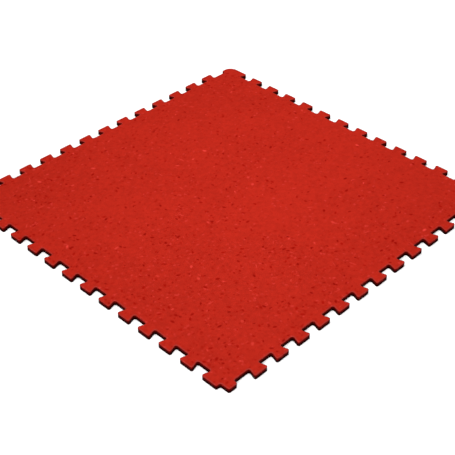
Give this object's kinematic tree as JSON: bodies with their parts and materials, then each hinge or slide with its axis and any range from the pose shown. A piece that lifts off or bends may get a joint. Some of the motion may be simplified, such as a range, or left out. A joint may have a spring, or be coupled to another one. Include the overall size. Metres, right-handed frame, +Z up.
{
  "type": "interlocking floor tile",
  "caption": "Flat square floor tile of flecked red PVC with dovetail tabs and sockets along all four sides, which lock it to the tiles laid next to it.",
  "frame": {"origin": "centre of the tile on the surface it lies on", "axes": "+Z up, out of the tread face; +X and +Y along the sides of the square, with the rounded corner at +X +Y"},
  "size_m": [0.5122, 0.5122, 0.007],
  "materials": {
    "flecked_pvc": "red PVC with small darker and lighter red flecks, satin, finely moulded"
  },
  "bodies": {
    "root": {"floor_tile": "flecked_pvc"}
  },
  "joints": []
}
